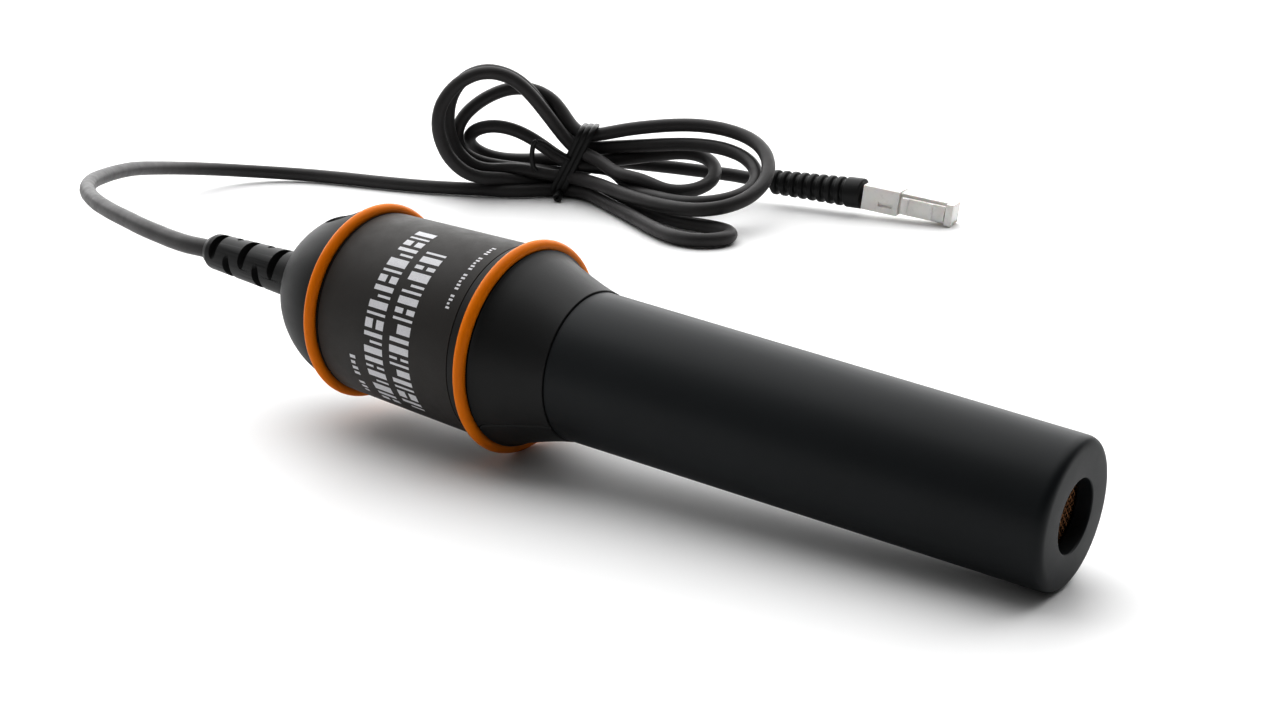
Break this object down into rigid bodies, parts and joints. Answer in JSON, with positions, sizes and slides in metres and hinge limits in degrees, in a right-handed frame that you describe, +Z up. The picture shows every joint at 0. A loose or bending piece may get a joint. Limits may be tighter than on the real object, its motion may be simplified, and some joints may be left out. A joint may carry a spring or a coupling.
{
  "type": "geiger counter",
  "caption": "Hand-held end-window geiger counter probe: two-shell handle with O-rings, long front tube, tied cord and telephone-type plug.",
  "frame": {"origin": "on the table, under the middle of the probe's own box (cord and plug left out)", "axes": "+X along the table from the cord end to the window end of the probe, +Z up, +Y away from the side that the cord loops round from"},
  "size_m": [0.3768, 0.2649, 0.0478],
  "materials": {
    "black_abs": "fine spark-eroded texture",
    "tube_abs": "fine texture with a soft sheen",
    "orange_rubber": "smooth, moulded",
    "label_film": "matt printed film with raised-looking white bars",
    "soft_pvc": "smooth satin",
    "cord_pvc": "satin with fine draw lines",
    "black_rubber": "matt",
    "copper_mesh": "fine woven wire",
    "nickel_steel": "drawn",
    "mica": "translucent flake",
    "glass_seal": "fused bead",
    "board_laminate": "solder mask",
    "chip_epoxy": "moulded epoxy",
    "ferrite": "sintered",
    "ceramic_coat": "dipped coat",
    "can_sleeve": "shrink sleeve",
    "header_nylon": "nylon",
    "wire_red": "insulation",
    "wire_black": "insulation",
    "plug_plastic": "polished, slightly yellowed",
    "gold_plate": "plated",
    "tie_plastic": "satin"
  },
  "bodies": {
    "monitor": {"handle_shell_upper": "black_abs", "handle_shell_lower": "black_abs", "label_sleeve": "label_film", "rear_o_ring": "orange_rubber", "front_o_ring": "orange_rubber", "front_tube": "tube_abs", "window_guard_mesh": "copper_mesh", "gm_tube_shell": "nickel_steel", "gm_tube_mica_window": "mica", "gm_tube_glass_seal": "glass_seal", "gm_tube_anode_pin": "nickel_steel", "gm_tube_front_holder": "black_rubber", "gm_tube_rear_holder": "black_rubber", "rear_strain_relief": "soft_pvc", "circuit_board": "board_laminate", "high_voltage_transformer": "ferrite", "piezo_beeper": "black_abs", "reservoir_capacitor": "can_sleeve", "high_voltage_capacitor": "ceramic_coat", "filter_capacitor": "ceramic_coat", "control_chip": "chip_epoxy", "pulse_chip": "chip_epoxy", "rectifier_diode": "chip_epoxy", "anode_resistor": "ceramic_coat", "cable_header": "header_nylon", "board_screw_1": "nickel_steel", "board_screw_2": "nickel_steel", "anode_wire": "wire_red", "cathode_wire": "wire_black", "inner_cord_tail": "cord_pvc", "cord_crimp": "nickel_steel", "beeper_switch_body": "chip_epoxy", "plug_strain_relief": "soft_pvc", "plug_body": "plug_plastic", "plug_contact_1": "gold_plate", "plug_contact_2": "gold_plate", "plug_contact_3": "gold_plate", "plug_contact_4": "gold_plate", "plug_contact_5": "gold_plate", "plug_contact_6": "gold_plate", "cord_lead_in": "cord_pvc", "cord_hank": "cord_pvc", "cord_tie": "tie_plastic", "cord_lead_out": "cord_pvc"},
    "switch": {"beeper_switch_slider": "black_abs"},
    "latch": {"plug_latch": "plug_plastic"}
  },
  "joints": [
    {"name": "beeper_switch_slide", "type": "slide", "parent": "monitor", "child": "switch", "axis": [0, 1, 0], "range_m": [0, 0.003]},
    {"name": "plug_latch_hinge", "type": "hinge", "parent": "monitor", "child": "latch", "pos_m": [-0.03701, 0.23415, 0.00404], "axis": [-0.1112, -0.0205, -0.9936], "range_deg": [0, 3], "stiffness_Nm_per_rad": 0.05}
  ]
}
